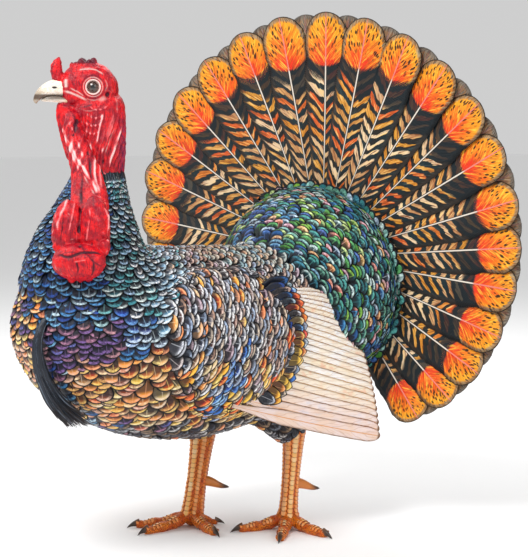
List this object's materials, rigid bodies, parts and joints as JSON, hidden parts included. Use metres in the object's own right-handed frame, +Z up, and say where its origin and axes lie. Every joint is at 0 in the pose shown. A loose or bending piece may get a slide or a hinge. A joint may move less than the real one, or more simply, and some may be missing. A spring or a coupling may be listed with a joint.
{
  "type": "wild turkey model",
  "caption": "Life-size still model of a strutting wild turkey cock with a fanned tail, drooping wings, wattled head and bare scaled legs.",
  "frame": {"origin": "on the floor, under the middle of the model's bounding box", "axes": "+Z up, -Y the way the bird's breast faces, +X its left side"},
  "size_m": [0.7306, 0.7346, 0.8804],
  "materials": {
    "plumage": "satin dark body feathers with bronze and blue gloss",
    "rump": "glossy teal scale feathers",
    "tail": "barred brown and black feathers with orange tips",
    "wing": "pale grey and cream feathers",
    "skin": "moist red wrinkled skin",
    "bill": "smooth cream horn",
    "eye": "clear and glossy over a dark brown iris",
    "leg": "satin orange scutes",
    "claw": "dark horn",
    "beard": "coarse black bristles"
  },
  "bodies": {
    "root": {"torso": "plumage", "neck_feathered": "plumage", "head": "skin", "bill_upper": "bill", "bill_lower": "bill", "snood": "skin", "neck_bare": "skin", "wattle": "skin", "beard": "beard", "rump": "rump", "tail_fan": "tail", "undertail": "plumage", "eye_left": "eye", "thigh_left": "plumage", "shank_left": "leg", "foot_left": "leg", "spur_left": "claw", "wing_left": "wing", "claw_inner_left": "claw", "claw_middle_left": "claw", "claw_outer_left": "claw", "claw_hind_left": "claw", "eye_right": "eye", "thigh_right": "plumage", "shank_right": "leg", "foot_right": "leg", "spur_right": "claw", "wing_right": "wing", "claw_inner_right": "claw", "claw_middle_right": "claw", "claw_outer_right": "claw", "claw_hind_right": "claw"}
  },
  "joints": []
}
